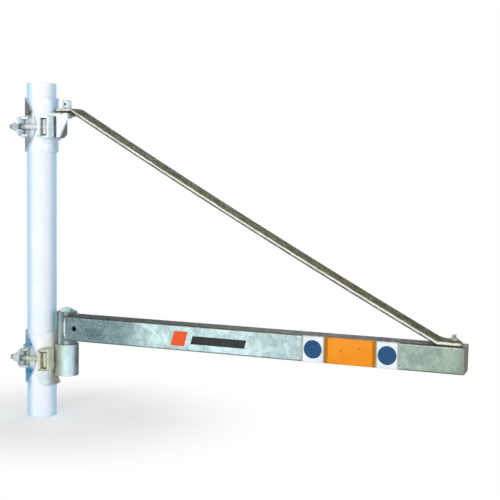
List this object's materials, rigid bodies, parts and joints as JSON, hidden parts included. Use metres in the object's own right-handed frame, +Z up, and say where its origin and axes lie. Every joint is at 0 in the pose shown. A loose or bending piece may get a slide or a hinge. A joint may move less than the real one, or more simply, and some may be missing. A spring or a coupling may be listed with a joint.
{
  "type": "scaffold pole jib crane",
  "caption": "Small swing jib on a scaffold pole: square beam with a flat tie bar above, turning on an upper pin and a lower spigot held by two hinged couplers.",
  "frame": {"origin": "centre of the pole's bottom face", "axes": "+Z up the pole, +X along the jib at rest, -Y the side with the coupler bolts"},
  "size_m": [0.7405, 0.0913, 0.55],
  "materials": {
    "painted_tube": "satin",
    "galvanised": "satin",
    "mottled_zinc": "matte",
    "dull_bar": "satin",
    "plated_fastener": "satin"
  },
  "bodies": {
    "post": {"pole": "painted_tube", "upper_base_saddle": "galvanised", "upper_flap_saddle": "galvanised", "upper_base": "galvanised", "upper_flap": "galvanised", "upper_hinge_rivet": "plated_fastener", "upper_t_bolt": "plated_fastener", "upper_nut": "plated_fastener", "lower_base_saddle": "galvanised", "lower_flap_saddle": "galvanised", "lower_base": "galvanised", "lower_flap": "galvanised", "lower_hinge_rivet": "plated_fastener", "lower_t_bolt": "plated_fastener", "lower_nut": "plated_fastener", "bracket_pad": "galvanised", "bracket_shelf": "galvanised", "bracket_gusset": "galvanised", "top_pin": "galvanised", "socket": "galvanised"},
    "jib": {"beam": "mottled_zinc", "end_cap": "mottled_zinc", "pivot_tube": "mottled_zinc", "spigot": "galvanised", "tie_bar": "dull_bar", "tip_bolt": "plated_fastener", "tip_washer": "plated_fastener", "tip_nut": "plated_fastener"}
  },
  "joints": [
    {"name": "jib_swing", "type": "hinge", "parent": "post", "child": "jib", "pos_m": [0.0475, 0, 0.124], "axis": [0, 0, 1], "range_deg": [-70, 70]}
  ]
}
